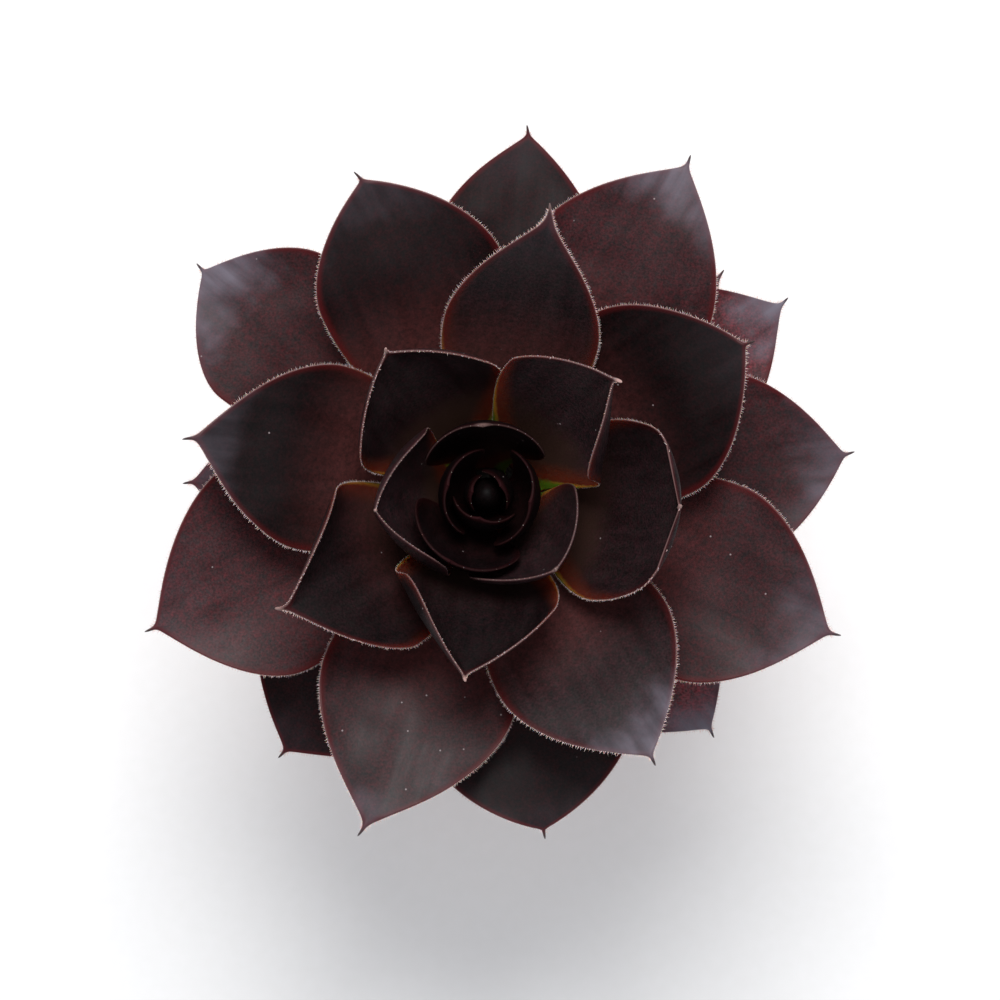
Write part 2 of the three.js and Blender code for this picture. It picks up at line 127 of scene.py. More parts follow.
BASE_ROUND = 1
MERGED_WITHIN = 0.004  # where the two faces meet at the margin
RIPPLE = 16  # mm from one soft swell of the blade to the next
LEAF_ROWS = 72
LEAF_COLUMNS = 45
ROW_CROWDING = 1.6  # above 1, the rows lie closer towards the tip

# The mucro is the small hooked spine that ends the leaf, and the cilia are the hairs on its margins.
MUCRO_LENGTH = 4.2
MUCRO_BEYOND = 0.4  # how far it reaches past the point of the model's leaf
MUCRO_HALF_WIDTH = 1  # at its foot, where it flares into the blade
MUCRO_FLARE = 1.4
MUCRO_POINT = 0.8  # mm over which it rounds to its point
BLADE_SHORT_OF_TIP = 1.4
HOOK_LENGTH = 4.5
CILIUM_SPACING = 0.26
CILIUM_RADIUS = 0.07
CILIUM_LENGTH = (0.45, 0.85)
CILIA_STRETCH = (0.25, 0.985)  # the shares of the leaf's length between which they stand
CILIUM_SHIFT = 0.4  # how far one may stand from its place, as a share of their spacing
CILIUM_LEAN = 0.8  # towards the tip, for each 1 outwards
CILIUM_STRAY = 0.35
CILIUM_ROOT = 0.99  # the share of the half width at which they stand
BUD_CILIA = {"number": 0.1, "length": 0.15}  # in the bud, beside 1 from these ages on
CILIA_FULL_AGE = {"number": 4, "length": 8}

STEM_RADIUS = 7
STEM_APEX_RADIUS = 0.8
STEM_DOME_LEAVES = 14
STEM_DOME_POINT = 1.1
STEM_SIDES = 96
STEM_ROWS = 260
OLDEST_FULL_WHORL = 26
SCAR = {"width": 7.5, "height": 3.2, "relief": 0.45, "softness": 0.25}
BARK_ROUGHNESS = 0.12
# The bark darkens upwards into painted shade under the leaves.
BARK_DARKENS = (22, 8)  # how far below the stem's end it begins to darken, and where it is all dark

POT_HEIGHT = 80
POT_TOP_RADIUS = 45
POT_MOUTH_RADIUS = 38.5
POT_FOOT_RADIUS = 30
POT_FLOOR_RADIUS = 25.5
POT_FLOOR = 6
POT_BODY_TOP_RADIUS = 42.4
POT_BAND_HEIGHT = 18
POT_BAND_DEPTH = 3.8
POT_ROUND = 1.4
POT_WALL_FROM_END = 4  # where the straight wall begins, up from the foot or down inside the rim
POT_DRAIN_RADIUS = 5
POT_SIDES = 160

SOIL_TOP = 70
SOIL_LUMP = 0.9
SOIL_CRUMB = 0.8
SOIL_CRUMB_WIDTH = 2.4
SOIL_LEVEL_EDGE = 0.08  # the share of the way in over which its lumps set in
SOIL_ROWS = 60
SOIL_SIDES = 160
STEM_HOLE_DEPTH = 32
GRAINS_PER_SQUARE_METRE = 420000
GRAIN_RADIUS = (0.4, 1.3)
GRAIN_DENTS = (-0.6, 0.5)  # how far a grain's face lies in or out, beside a radius of 1
GRAIN_TURN = 6.3  # a full turn at most, in radians
GRAIN_SEED = 3
STEEPEST_GROUND = 0.3  # grains lie only where the ground's normal points up by more than this
GRIT_DEPTH = 4  # and no further than this below the soil's top

# ---------------------------------------------------------------- colours and stage

# The leaf's base: each colour, the share of the leaf's length where it is whole and where it ends, and
# how many mm in from a margin it ends sooner by BASE_DRAWN_IN. The first, brown, reaches right across;
# it is painted light, lighter than the leaf there, standing for light that gets in among the bases.
BASE_COLOURS = [
    ("#3a2720", 0.34, 0.5, 200),
    ("#64291a", 0.44, 0.76, 4),
    ("#b87f2c", 0.42, 0.58, 1.5),
    ("#4f6a16", 0.33, 0.46, 3),
]
RUST = 1  # its place in that list
BASE_DRAWN_IN = 0.3
LEAF_SHINE = 0.17
BUD_SHINE = 0.05
NOISE_RANGE = (0.3, 0.7)  # between which most of a noise's values lie
# What a leaf's tree keeps at each of its points for the skin to read, and the core's one value of each.
# The core's low tone is painted shade deep inside the bud.
LEAF_READINGS = ("along", "sideways", "from_margin", "from_tip", "age", "tone", "bloom")
CORE_READINGS = (0.8, 0, 0.01, 0.01, TOP_AGE, 0.18, 0)

# The camera looks straight down, and its frame is 185 mm wide at the height of most leaves, which makes
# 0.185 mm to a pixel of the photo. The stem stands 13 pixels left of the photo's middle and 5 above it.
CAMERA_HEIGHT = 825
FRAME_WIDTH = 185
FRAME_WIDTH_AT = 125
CAMERA_ASIDE = (2.405, -0.925)
KEY_LIGHT = {"place": (0, 676, 1371), "aim": (0, 0, 100), "size": 700, "power": 17.5}
SKY = {"colour": "#e8ecf2", "strength": 0.75}
FLOOR_REACH = 3000

stem_low, stem_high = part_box("stem")
APEX = Vector(((stem_low.x + stem_high.x) / 2, (stem_low.y + stem_high.y) / 2, stem_high.z)) / MM


def lerp(a, b, share):
    return a + (b - a) * share


def smoothstep(value, low, high):
    share = min(max((value - low) / (high - low), 0), 1)
    return share * share * (3 - 2 * share)


# ---------------------------------------------------------------- nodes and meshes


def colour(code):
    """An sRGB hex value as linear red, green, blue and 1."""
    parts = [int(code[i:i + 2], 16) / 255 for i in (1, 3, 5)]
    return [p / 12.92 if p <= 0.04045 else ((p + 0.055) / 1.055) ** 2.4 for p in parts] + [1]


def give(tree, node, values):
    """Gives a node's inputs values or links: by name, or as a list in the order of the inputs. That is
    factor, A and B for a mix, and a value, its least and most, and the result at each for a range."""
    inputs = [socket for socket in node.inputs if socket.enabled]
    if isinstance(values, dict):
        inputs = [next(socket for socket in inputs if socket.name == name) for name in values]
        values = values.values()
    for socket, value in zip(inputs, values):
        if isinstance(value, str) and value.startswith("#"):
            value = colour(value)
        if isinstance(value, bpy.types.Node):
            value = next(output for output in value.outputs if output.enabled)
        if isinstance(value, bpy.types.NodeSocket):
            tree.links.new(value, socket)
        else:
            socket.default_value = value


def add(tree, kind, values=(), **settings):
    """Adds a node with its settings, values and links. A kind without a family is a shader node's."""
    node = tree.nodes.new(kind if "Node" in kind else "ShaderNode" + kind)
    for name, setting in settings.items():
        setattr(node, name, setting)
    give(tree, node, values)
    return node


def geometry_tree(name, sizes):
    """A tree of geometry nodes with named inputs for its sizes, and those inputs."""
    tree = bpy.data.node_groups.new(name, "GeometryNodeTree")
    for size in sizes:
        tree.interface.new_socket(size, in_out="INPUT", socket_type="NodeSocketFloat")
    tree.interface.new_socket("Geometry", in_out="OUTPUT", socket_type="NodeSocketGeometry")
    return tree, add(tree, "NodeGroupInput").outputs


def grown(obj, tree, sizes):
    """Gives obj what the tree makes with these sizes, as a plain mesh."""
    modifier = obj.modifiers.new("growth", "NODES")
    modifier.node_group = tree
    for item in tree.interface.items_tree:
        if item.in_out == "INPUT" and item.name in sizes:
            modifier[item.identifier] = float(sizes[item.name])
    evaluated = obj.evaluated_get(bpy.context.evaluated_depsgraph_get())
    mesh = bpy.data.meshes.new_from_object(evaluated)
    obj.modifiers.clear()
    obj.data = mesh
    return obj


def new_object(name, data):
    obj = bpy.data.objects.new(name, data)
    bpy.context.scene.collection.objects.link(obj)
    return obj


def new_piece(name, vertices=(), faces=()):
    """A smooth mesh object from vertices in millimetres."""
    mesh = bpy.data.meshes.new(name)
    mesh.from_pydata([[c * MM for c in v] for v in vertices], [], faces)
    mesh.polygons.foreach_set("use_smooth", [True] * len(mesh.polygons))
    return new_object(name, mesh)


def ringed(name, rings, low=None, high=None):
    """A closed body through rings of points, with a pole below and above, or closed on itself."""
    sides = len(rings[0])
    vertices = [point for ring in rings for point in ring]
    faces = []
    last = len(rings) if low is None else len(rings) - 1
    for row in range(last):
        for side in range(sides):
            here = row * sides
            above = (row + 1) % len(rings) * sides
            after = (side + 1) % sides
            faces.append((here + side, here + after, above + after, above + side))
    if low is not None:
        top = (len(rings) - 1) * sides
        vertices += [low, high]
        for side in range(sides):
            after = (side + 1) % sides
            faces.append((len(vertices) - 2, after, side))
            faces.append((top + side, top + after, len(vertices) - 1))
    return new_piece(name, vertices, faces)


def ring(radius, height, sides, centre=(0, 0)):
    turns = [2 * math.pi * side / sides for side in range(sides)]
    return [(centre[0] + radius * math.cos(t), centre[1] + radius * math.sin(t), height) for t in turns]


def attach(piece, slot, *nodes):
    """The piece rides on the plant and its pot, and stands for these nodes of the model."""
    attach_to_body(piece, "root")
    if nodes:
        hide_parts(*nodes)


# ---------------------------------------------------------------- the leaf's law


def base_height(age):
    return -INTERNODE * (age - TOP_AGE)


def stem_radius(height):
    on_dome = min(-height / (INTERNODE * STEM_DOME_LEAVES), 1)
    return lerp(STEM_APEX_RADIUS, STEM_RADIUS, math.sin(on_dome * math.pi / 2) ** STEM_DOME_POINT)


def leaf_azimuth(age):
    return math.radians(FIRST_AZIMUTH - GOLDEN_ANGLE * age)


def middle_thickness(age):
    t = MIDDLE_THICKNESS
    share = (age - t["young_age"]) / (t["grown_age"] - t["young_age"])
    return lerp(t["young"], t["grown"], min(max(share, 0), 1))


def leaf_sizes(leaf):
    """What one leaf's tree is given, in metres and radians. Its midrib is an arc round a centre."""
    start = math.radians(leaf.rise - leaf.curl / 2)
    bend = math.radians(leaf.curl)
    half = middle_thickness(leaf.age) / 2
    seat_height = base_height(leaf.age)
    stem_there = stem_radius(min(seat_height + half * math.cos(start), 0))
    seat_radius = stem_there + GAP + half * abs(math.sin(start))
    arc = leaf.length / bend
    outline = GROWN_OUTLINE
    if leaf.age <= LAST_YOUNG_AGE:
        outline = YOUNG_OUTLINE
    if leaf.age <= LAST_BUD_AGE:
        outline = BUD_OUTLINE
    grown_up = smoothstep(leaf.age, *GROWING_UP)
    pointed = smoothstep(leaf.age, *OPENING)
    cilia_number = smoothstep(leaf.age, LAST_BUD_AGE - 1, CILIA_FULL_AGE["number"])
    cilia_length = smoothstep(leaf.age, LAST_BUD_AGE - 1, CILIA_FULL_AGE["length"])
    return {
        "Length": leaf.length * MM,
        "Blade End": 1 - pointed * BLADE_SHORT_OF_TIP / leaf.length,
        "Tip": 1 + pointed * MUCRO_BEYOND / leaf.length,
        "Half Width": leaf.width / 2 * MM,
        "Widest": leaf.widest,
        "Base": outline["base"],
        "Shoulder": outline["shoulder"],
        "Point": outline["point"] * leaf.taper,
        "Fold Clockwise": leaf.fold[0],
        "Fold Anticlockwise": leaf.fold[1],
        "Margin Lift": MARGIN_LIFT * math.cos(start) ** 2,
        "Thickness": middle_thickness(leaf.age) * MM,
        "Start Slope": start,
        "Bend": bend,
        "Arc Radius": arc * MM,
        "Centre Radius": (seat_radius - arc * math.sin(start)) * MM,
        "Centre Height": (APEX.z + seat_height + arc * math.cos(start)) * MM,
        "Azimuth": leaf_azimuth(leaf.age) + math.radians(leaf.turn),
        "Sway": math.radians(leaf.sway),
        "Tip Lean": leaf.lean * MM,
        "Tip Hook": pointed * lerp(TIP_HOOK["young"], TIP_HOOK["grown"], grown_up) * MM,
        "Mucro Length": MUCRO_LENGTH * MM,
        "Mucro Half Width": pointed * MUCRO_HALF_WIDTH * MM,
        "Waviness": lerp(WAVINESS["young"], WAVINESS["grown"], grown_up) * MM,
        "Cilia": 2 * leaf.length / CILIUM_SPACING * lerp(BUD_CILIA["number"], 1, cilia_number),
        "Cilium Length": lerp(BUD_CILIA["length"], 1, cilia_length),
        "Age": leaf.age,
        "Tone": leaf.tone,
        "Bloom": leaf.bloom,
        "Seed": leaf.age + 10,  # above 0 for the youngest too
        "Axis X": APEX.x * MM,
        "Axis Y": APEX.y * MM,
    }


def rounding(tree, distance, radius):
    """From 0 at an edge to 1 at a radius from it, as a quarter circle."""
    inward = add(tree, "Math", [distance, radius * MM], operation="DIVIDE", use_clamp=True)
    left = add(tree, "Math", [1, inward], operation="SUBTRACT")
    squared = add(tree, "Math", [left, left], operation="MULTIPLY")
    rest = add(tree, "Math", [1, squared], operation="SUBTRACT", use_clamp=True)
    return add(tree, "Math", [rest], operation="SQRT")


def to_tip_end(tree, sizes, along):
    """The distance from a share of the leaf's length to the end of its mucro."""
    left = add(tree, "Math", [sizes["Tip"], along], operation="SUBTRACT")
    return add(tree, "Math", [left, sizes["Length"]], operation="MULTIPLY")


def half_width(tree, sizes, along):
    """Half of the leaf's width at a share of its length, down to the mucro and its point."""
    to_widest = add(tree, "Math", [along, sizes["Widest"]], operation="DIVIDE", use_clamp=True)
    eased = add(tree, "Math", [to_widest, SWELL], operation="POWER")
    angle = add(tree, "Math", [eased, math.pi / 2], operation="MULTIPLY")
    sine = add(tree, "Math", [angle], operation="SINE")
    swell = add(tree, "Math", [sine, 2], operation="POWER")
    foot = add(tree, "MapRange", [swell, 0, 1, sizes["Base"]])
    to_tip = add(tree, "MapRange", [along, sizes["Widest"], sizes["Blade End"]])
    rounded = add(tree, "Math", [to_tip, sizes["Shoulder"]], operation="POWER")
    rest = add(tree, "Math", [1, rounded], operation="SUBTRACT", use_clamp=True)
    taper = add(tree, "Math", [rest, sizes["Point"]], operation="POWER")
    share = add(tree, "Math", [foot, taper], operation="MULTIPLY")
    blade = add(tree, "Math", [share, sizes["Half Width"]], operation="MULTIPLY")
    from_tip = to_tip_end(tree, sizes, along)
    on_mucro = add(tree, "Math", [from_tip, sizes["Mucro Length"]], operation="DIVIDE", use_clamp=True)
    spine = add(tree, "Math", [on_mucro, MUCRO_FLARE], operation="POWER")
    mucro = add(tree, "Math", [spine, sizes["Mucro Half Width"]], operation="MULTIPLY")
    both = add(tree, "Math", [blade, mucro, sizes["Mucro Half Width"]], operation="SMOOTH_MAX")
    return add(tree, "Math", [both, rounding(tree, from_tip, MUCRO_POINT)], operation="MULTIPLY")


def leaf_place(tree, sizes, along, across):
    """A point on the leaf's middle surface, from its share of the length and of the half width."""
    half = half_width(tree, sizes, along)

    # Each margin is folded up towards the tip, and the blade swells softly, each leaf's in its own way.
    squared = add(tree, "Math", [across, across], operation="MULTIPLY")
    spread = add(tree, "Math", [squared, half], operation="MULTIPLY")
    side = add(tree, "Math", [across, 0], operation="GREATER_THAN")
    fold = add(tree, "Mix", [side, sizes["Fold Clockwise"], sizes["Fold Anticlockwise"]])
    folding = add(tree, "MapRange", [along, FOLD_FROM, 1, 0, fold], interpolation_type="SMOOTHSTEP")
    folded = add(tree, "Math", [folding, spread], operation="MULTIPLY")
    onward = add(tree, "Math", [along, sizes["Length"]], operation="MULTIPLY")
    sideways = add(tree, "Math", [across, half], operation="MULTIPLY")
    apart = add(tree, "Math", [sizes["Seed"], 0.3], operation="MULTIPLY")
    spot = add(tree, "CombineXYZ", [onward, sideways, apart])
    ripple = add(tree, "TexNoise", {"Vector": spot, "Scale": 1 / (RIPPLE * MM), "Detail": 1})
    swing = add(tree, "MapRange", [ripple, *NOISE_RANGE, -1], clamp=False)
    waved = add(tree, "Math", [swing, sizes["Waviness"], folded], operation="MULTIPLY_ADD")

    # The mucro hooks up or down and aside.
    from_tip = to_tip_end(tree, sizes, along)
    nearness = add(tree, "MapRange", [from_tip, 0, HOOK_LENGTH * MM, 1, 0])
    hooking = add(tree, "Math", [nearness, 2], operation="POWER")
    raised = add(tree, "Math", [hooking, sizes["Tip Hook"], waved], operation="MULTIPLY_ADD")
    aside = add(tree, "Math", [hooking, sizes["Tip Lean"], sideways], operation="MULTIPLY_ADD")

    # The midrib is an arc in height, and the blade is bent round the stem and sways aside.
    slope = add(tree, "Math", [along, sizes["Bend"], sizes["Start Slope"]], operation="MULTIPLY_ADD")
    sine = add(tree, "Math", [slope], operation="SINE")
    cosine = add(tree, "Math", [slope], operation="COSINE")
    radius = add(tree, "Math", [sine, sizes["Arc Radius"], sizes["Centre Radius"]],
                 operation="MULTIPLY_ADD")
    arm = add(tree, "Math", [sizes["Arc Radius"], raised], operation="SUBTRACT")
    reach = add(tree, "Math", [arm, sine, sizes["Centre Radius"]], operation="MULTIPLY_ADD")
    drop = add(tree, "Math", [arm, cosine], operation="MULTIPLY")
    height = add(tree, "Math", [sizes["Centre Height"], drop], operation="SUBTRACT")
    cupped = add(tree, "Math", [along, sizes["Margin Lift"]], operation="MULTIPLY")
    lifted = add(tree, "Math", [cupped, spread, height], operation="MULTIPLY_ADD")
    swayed = add(tree, "Math", [along, along], operation="MULTIPLY")
    middle = add(tree, "Math", [swayed, sizes["Sway"], sizes["Azimuth"]], operation="MULTIPLY_ADD")
    round_stem = add(tree, "Math", [aside, radius], operation="DIVIDE")
    azimuth = add(tree, "Math", [middle, round_stem], operation="ADD")
    ahead = add(tree, "CombineXYZ", [reach, 0, lifted])
    turned = add(tree, "VectorRotate", {"Vector": ahead, "Angle": azimuth}, rotation_type="Z_AXIS")
    axis = add(tree, "CombineXYZ", [sizes["Axis X"], sizes["Axis Y"]])
    return add(tree, "VectorMath", [turned, axis], operation="ADD")


def blade(tree, sizes, skin):
    """The leaf itself: two faces at the leaf's thickness, which meet at its rounded margin."""
    # The grid runs from -0.5 to 0.5. Its X becomes the share of the length and its Y that of the width,
    # with its points closer together towards the tip and the margins.
    grid = add(tree, "GeometryNodeMeshGrid",
               {"Size X": 1, "Size Y": 1, "Vertices X": LEAF_ROWS, "Vertices Y": LEAF_COLUMNS})
    flat = add(tree, "SeparateXYZ", [add(tree, "GeometryNodeInputPosition")])
    left = add(tree, "Math", [0.5, flat.outputs["X"]], operation="SUBTRACT", use_clamp=True)
    crowded = add(tree, "Math", [left, ROW_CROWDING], operation="POWER")
    whole = add(tree, "Math", [1, crowded], operation="SUBTRACT")
    along_at = add(tree, "Math", [whole, sizes["Tip"]], operation="MULTIPLY")
    angle = add(tree, "Math", [flat.outputs["Y"], math.pi], operation="MULTIPLY")
    across_at = add(tree, "Math", [angle], operation="SINE")
    kept = grid
    for name, value in {"along": along_at, "across": across_at}.items():
        kept = add(tree, "GeometryNodeStoreNamedAttribute", {"Geometry": kept, "Name": name, "Value": value})
    along, across = [add(tree, "GeometryNodeInputNamedAttribute", {"Name": name}).outputs["Attribute"]
                     for name in ("along", "across")]

    # These are kept for the skin to read.
    half = half_width(tree, sizes, along)
    distance = add(tree, "Math", [across], operation="ABSOLUTE")
    inward = add(tree, "Math", [1, distance], operation="SUBTRACT")
    from_margin = add(tree, "Math", [inward, half], operation="MULTIPLY")
    sideways = add(tree, "Math", [across, half], operation="MULTIPLY")
    to_tip = to_tip_end(tree, sizes, along)
    readings = {"from_margin": from_margin, "sideways": sideways, "from_tip": to_tip,
                "age": sizes["Age"], "tone": sizes["Tone"], "bloom": sizes["Bloom"]}
    for name, value in readings.items():
        kept = add(tree, "GeometryNodeStoreNamedAttribute", {"Geometry": kept, "Name": name, "Value": value})

    # The blade is thickest along its middle, thinner towards its tip and rounded at every edge.
    to_base = add(tree, "Math", [along, sizes["Length"]], operation="MULTIPLY")
    cubed = add(tree, "Math", [along, 3], operation="POWER")
    thinned = add(tree, "MapRange", [cubed, 0, 1, 1, 1 - TIP_THINNING])
    middle = add(tree, "Math", [thinned, sizes["Thickness"]], operation="MULTIPLY")
    body = add(tree, "Math", [middle, EDGE_THICKNESS * MM], operation="SUBTRACT")
    squared = add(tree, "Math", [across, across], operation="MULTIPLY")
    lens = add(tree, "Math", [1, squared], operation="SUBTRACT")
    edge = rounding(tree, from_margin, EDGE_THICKNESS / 2)
    edged = add(tree, "Math", [edge, EDGE_THICKNESS * MM], operation="MULTIPLY")
    thick = add(tree, "Math", [body, lens, edged], operation="MULTIPLY_ADD")
    tip = rounding(tree, to_tip, TIP_ROUND)
    base = rounding(tree, to_base, BASE_ROUND)
    ends = add(tree, "Math", [tip, base], operation="MULTIPLY")
    thickness = add(tree, "Math", [thick, ends], operation="MULTIPLY")

    place = leaf_place(tree, sizes, along, across)
    middle_face = add(tree, "GeometryNodeSetPosition", {"Geometry": kept, "Position": place})
    normal = add(tree, "GeometryNodeInputNormal")
    faces = []
    for share in (0.5, -0.5):
        away = add(tree, "Math", [thickness, share], operation="MULTIPLY")
        offset = add(tree, "VectorMath", [normal, away], operation="SCALE")
        faces.append(add(tree, "GeometryNodeSetPosition", {"Geometry": middle_face, "Offset": offset}))
    under = add(tree, "GeometryNodeFlipFaces", {"Mesh": faces[1]})
    both = add(tree, "GeometryNodeJoinGeometry", {"Geometry": faces[0]})
    tree.links.new(under.outputs["Mesh"], both.inputs["Geometry"])
    closed = add(tree, "GeometryNodeMergeByDistance", {"Geometry": both, "Distance": MERGED_WITHIN * MM})
    smooth = add(tree, "GeometryNodeSetShadeSmooth", {"Geometry": closed})
    return add(tree, "GeometryNodeSetMaterial", {"Geometry": smooth, "Material": skin})


def cilia(tree, sizes, hair):
    """A row of short hairs along both margins, which lean towards the leaf's tip."""
    row = add(tree, "GeometryNodeMeshLine", {"Count": sizes["Cilia"]})
    index = add(tree, "GeometryNodeInputIndex")
    side_seed = add(tree, "Math", [index, 2], operation="MODULO")
    side = add(tree, "MapRange", [side_seed, 0, 1, -1])
    shift = add(tree, "FunctionNodeRandomValue",
                {"Min": -CILIUM_SHIFT, "Max": CILIUM_SHIFT, "Seed": sizes["Seed"]})
    shifted = add(tree, "Math", [index, shift], operation="ADD")
    along = add(tree, "MapRange", [shifted, 0, sizes["Cilia"], *CILIA_STRETCH])

    # Its directions come from two more places on the leaf, a little further on and a little further in.
    ahead = add(tree, "Math", [along, 0.01], operation="ADD")
    root_across = add(tree, "Math", [side, CILIUM_ROOT], operation="MULTIPLY")
    inner_across = add(tree, "Math", [side, CILIUM_ROOT - 0.03], operation="MULTIPLY")
    root = leaf_place(tree, sizes, along, root_across)
    inner = leaf_place(tree, sizes, along, inner_across)
    beyond = leaf_place(tree, sizes, ahead, root_across)
    sideways = add(tree, "VectorMath", [root, inner], operation="SUBTRACT")
    outward = add(tree, "VectorMath", [sideways], operation="NORMALIZE")
    onward = add(tree, "VectorMath", [beyond, root], operation="SUBTRACT")
    tipward = add(tree, "VectorMath", [onward], operation="NORMALIZE")
    leaning = add(tree, "VectorMath", [tipward, [CILIUM_LEAN] * 3, outward], operation="MULTIPLY_ADD")
    stray = {"Min": [-CILIUM_STRAY] * 3, "Max": [CILIUM_STRAY] * 3, "Seed": sizes["Seed"]}
    astray = add(tree, "FunctionNodeRandomValue", stray, data_type="FLOAT_VECTOR")
    heading = add(tree, "VectorMath", [leaning, astray], operation="ADD")
    points = add(tree, "GeometryNodeMeshToPoints", {"Mesh": row, "Position": root})
    turn = add(tree, "FunctionNodeAlignRotationToVector", {"Vector": heading}, axis="Z")
    length = add(tree, "FunctionNodeRandomValue",
                 {"Min": CILIUM_LENGTH[0] * MM, "Max": CILIUM_LENGTH[1] * MM, "Seed": sizes["Seed"]})
    grown_length = add(tree, "Math", [length, sizes["Cilium Length"]], operation="MULTIPLY")
    scale = add(tree, "CombineXYZ", [1, 1, grown_length])
    cone = add(tree, "GeometryNodeMeshCone",
               {"Vertices": 3, "Radius Bottom": CILIUM_RADIUS * MM, "Depth": 1})
    hairs = add(tree, "GeometryNodeInstanceOnPoints",
                {"Points": points, "Instance": cone, "Rotation": turn, "Scale": scale})
    real = add(tree, "GeometryNodeRealizeInstances", {"Geometry": hairs})
    return add(tree, "GeometryNodeSetMaterial", {"Geometry": real, "Material": hair})


def leaf_tree(name, skin, hair):
    tree, sizes = geometry_tree(name, leaf_sizes(LEAVES[0]))
    leaf = add(tree, "GeometryNodeJoinGeometry", {"Geometry": blade(tree, sizes, skin)})
    tree.links.new(cilia(tree, sizes, hair).outputs["Geometry"], leaf.inputs["Geometry"])
    add(tree, "NodeGroupOutput", {"Geometry": leaf})
    return tree


# ---------------------------------------------------------------- materials


def new_material(name):
    """A material, its tree, its shader and the place of each point on its piece."""
    material = bpy.data.materials.new(name)
    material.use_nodes = True
    tree = material.node_tree
    place = add(tree, "TexCoord").outputs["Object"]
    return material, tree, tree.nodes["Principled BSDF"], place


def skin_readings(tree, place):
    """What the skin's layers read at each point: what the leaf keeps there, and three noises.

    Patches are about 9 mm across. Flecks are 1.1 mm, coarser than the real cells so that they show.
    Streaks run along the leaf. Each layer then gives its share at the point and its colour.
    """
    at = {name: add(tree, "Attribute", attribute_name=name).outputs["Fac"] for name in LEAF_READINGS}
    at = SimpleNamespace(place=place, **at)
    at.opened = add(tree, "MapRange", [at.age, -1, 2])
    at.patches = add(tree, "TexNoise", {"Vector": place, "Scale": 1 / (9 * MM), "Detail": 3})
    at.flecks = add(tree, "TexNoise",
                    {"Vector": place, "Scale": 1 / (1.1 * MM), "Detail": 4, "Roughness": 0.8})
    at.fleck = add(tree, "MapRange", [at.flecks, 0.36, 0.66])
    spread = add(tree, "Math", [at.sideways, 1 / (3 * MM)], operation="MULTIPLY")
    onward = add(tree, "Math", [at.along, 3], operation="MULTIPLY")
    drawn = add(tree, "CombineXYZ", [spread, onward, at.age])
    at.streaks = add(tree, "TexNoise", {"Vector": drawn, "Scale": 1, "Detail": 4})
    return at


def pigment(tree, at):
    """Near-black pigment in patches, with red flecks. It thins in streaks, and each leaf's tone scales it:
    partly the leaf's own lightness, partly painted light and shade.
    """
    grown_up = add(tree, "MapRange", [at.age, 8, 15], interpolation_type="SMOOTHSTEP")
    patch = add(tree, "MapRange", [at.patches, 0.35, 0.65])
    young = add(tree, "Mix", [patch, "#110f0f", "#1a1615"], data_type="RGBA")
    grown_face = add(tree, "Mix", [patch, "#231a1b", "#302425"], data_type="RGBA")
    face = add(tree, "Mix", [grown_up, young, grown_face], data_type="RGBA")
    red = add(tree, "Mix", [grown_up, "#251316", "#45191d"], data_type="RGBA")
    mottled = add(tree, "Mix", [at.fleck, face, red], data_type="RGBA")
    grain = add(tree, "TexNoise", {"Vector": at.place, "Scale": 1 / (0.4 * MM)})
    streak = add(tree, "MapRange", [at.streaks, *NOISE_RANGE, 0.75, 1.25])
    grained = add(tree, "MapRange", [grain, *NOISE_RANGE, 0.55, 1.45])
    lightness = add(tree, "Math", [streak, grained], operation="MULTIPLY")
    # The leaf's tone is partly its own lightness, partly painted light and shade.
    own_tone_and_shade = add(tree, "Math", [lightness, at.tone], operation="MULTIPLY")
    return add(tree, "VectorMath", [mottled, own_tone_and_shade], operation="SCALE")


def flush(tree, at):
    """Red towards the leaf's base, most of all in the flecks of a grown leaf."""
    inner = add(tree, "MapRange", [at.along, 0.3, 0.7, 0.46, 0], interpolation_type="SMOOTHSTEP")
    matured = add(tree, "MapRange", [at.age, 6, 8, 0.1])
    flecked = add(tree, "MapRange", [at.fleck, 0, 1, 0.55, 1.35])
    speckled = add(tree, "Math", [inner, flecked], operation="MULTIPLY")
    share = add(tree, "Math", [speckled, matured], operation="MULTIPLY")
    return share, "#6a3836"


def margin_band(tree, at):
    """Red gathered in a band of about 1.5 mm inside the margin, and more of it with age."""
    banded = add(tree, "MapRange", [at.from_margin, 0.3 * MM, 1.8 * MM, 0.8, 0],
                 interpolation_type="SMOOTHSTEP")
    strong = add(tree, "MapRange", [at.age, 0, 15, 0.12])
    share = add(tree, "Math", [banded, strong], operation="MULTIPLY")
    return share, "#4a0c10"


def base_colours_and_painted_light(tree, at):
    """The base, where light doesn't reach.

    It stays green, with ragged yellow, rust and brown between it and the blade. The brown is painted
    light, standing for light that gets in among the bases. All but the brown reach further along the
    margins, and they reach furthest on the leaves that have just opened. Light gets into the rust, and
    at.glow keeps how much.
    """
    late = add(tree, "MapRange", [at.age, 2, 3, 1, 0.68])
    uneven = add(tree, "Math", [at.patches, at.flecks], operation="ADD")
    ragged = add(tree, "Math", [uneven, 0.12], operation="MULTIPLY")
    outward = add(tree, "Math", [at.along, late, ragged], operation="MULTIPLY_ADD")
    # The first colour, brown, is painted light at the base.
    based, shares = at.skin, []
    for code, start, end, reach in BASE_COLOURS:
        further = add(tree, "Math", [at.from_margin, BASE_DRAWN_IN / (reach * MM), outward],
                      operation="MULTIPLY_ADD")
        share = add(tree, "MapRange", [further, start, end, 1, 0], interpolation_type="SMOOTHSTEP")
        shares.append(share)
        based = add(tree, "Mix", [share, based, code], data_type="RGBA")
    youth = add(tree, "MapRange", [at.age, 5, 9, 1, 0.1])
    sunless = add(tree, "Math", [youth, at.opened], operation="MULTIPLY")
    at.glow = add(tree, "Math", [sunless, shares[RUST]], operation="MULTIPLY")
    return sunless, based


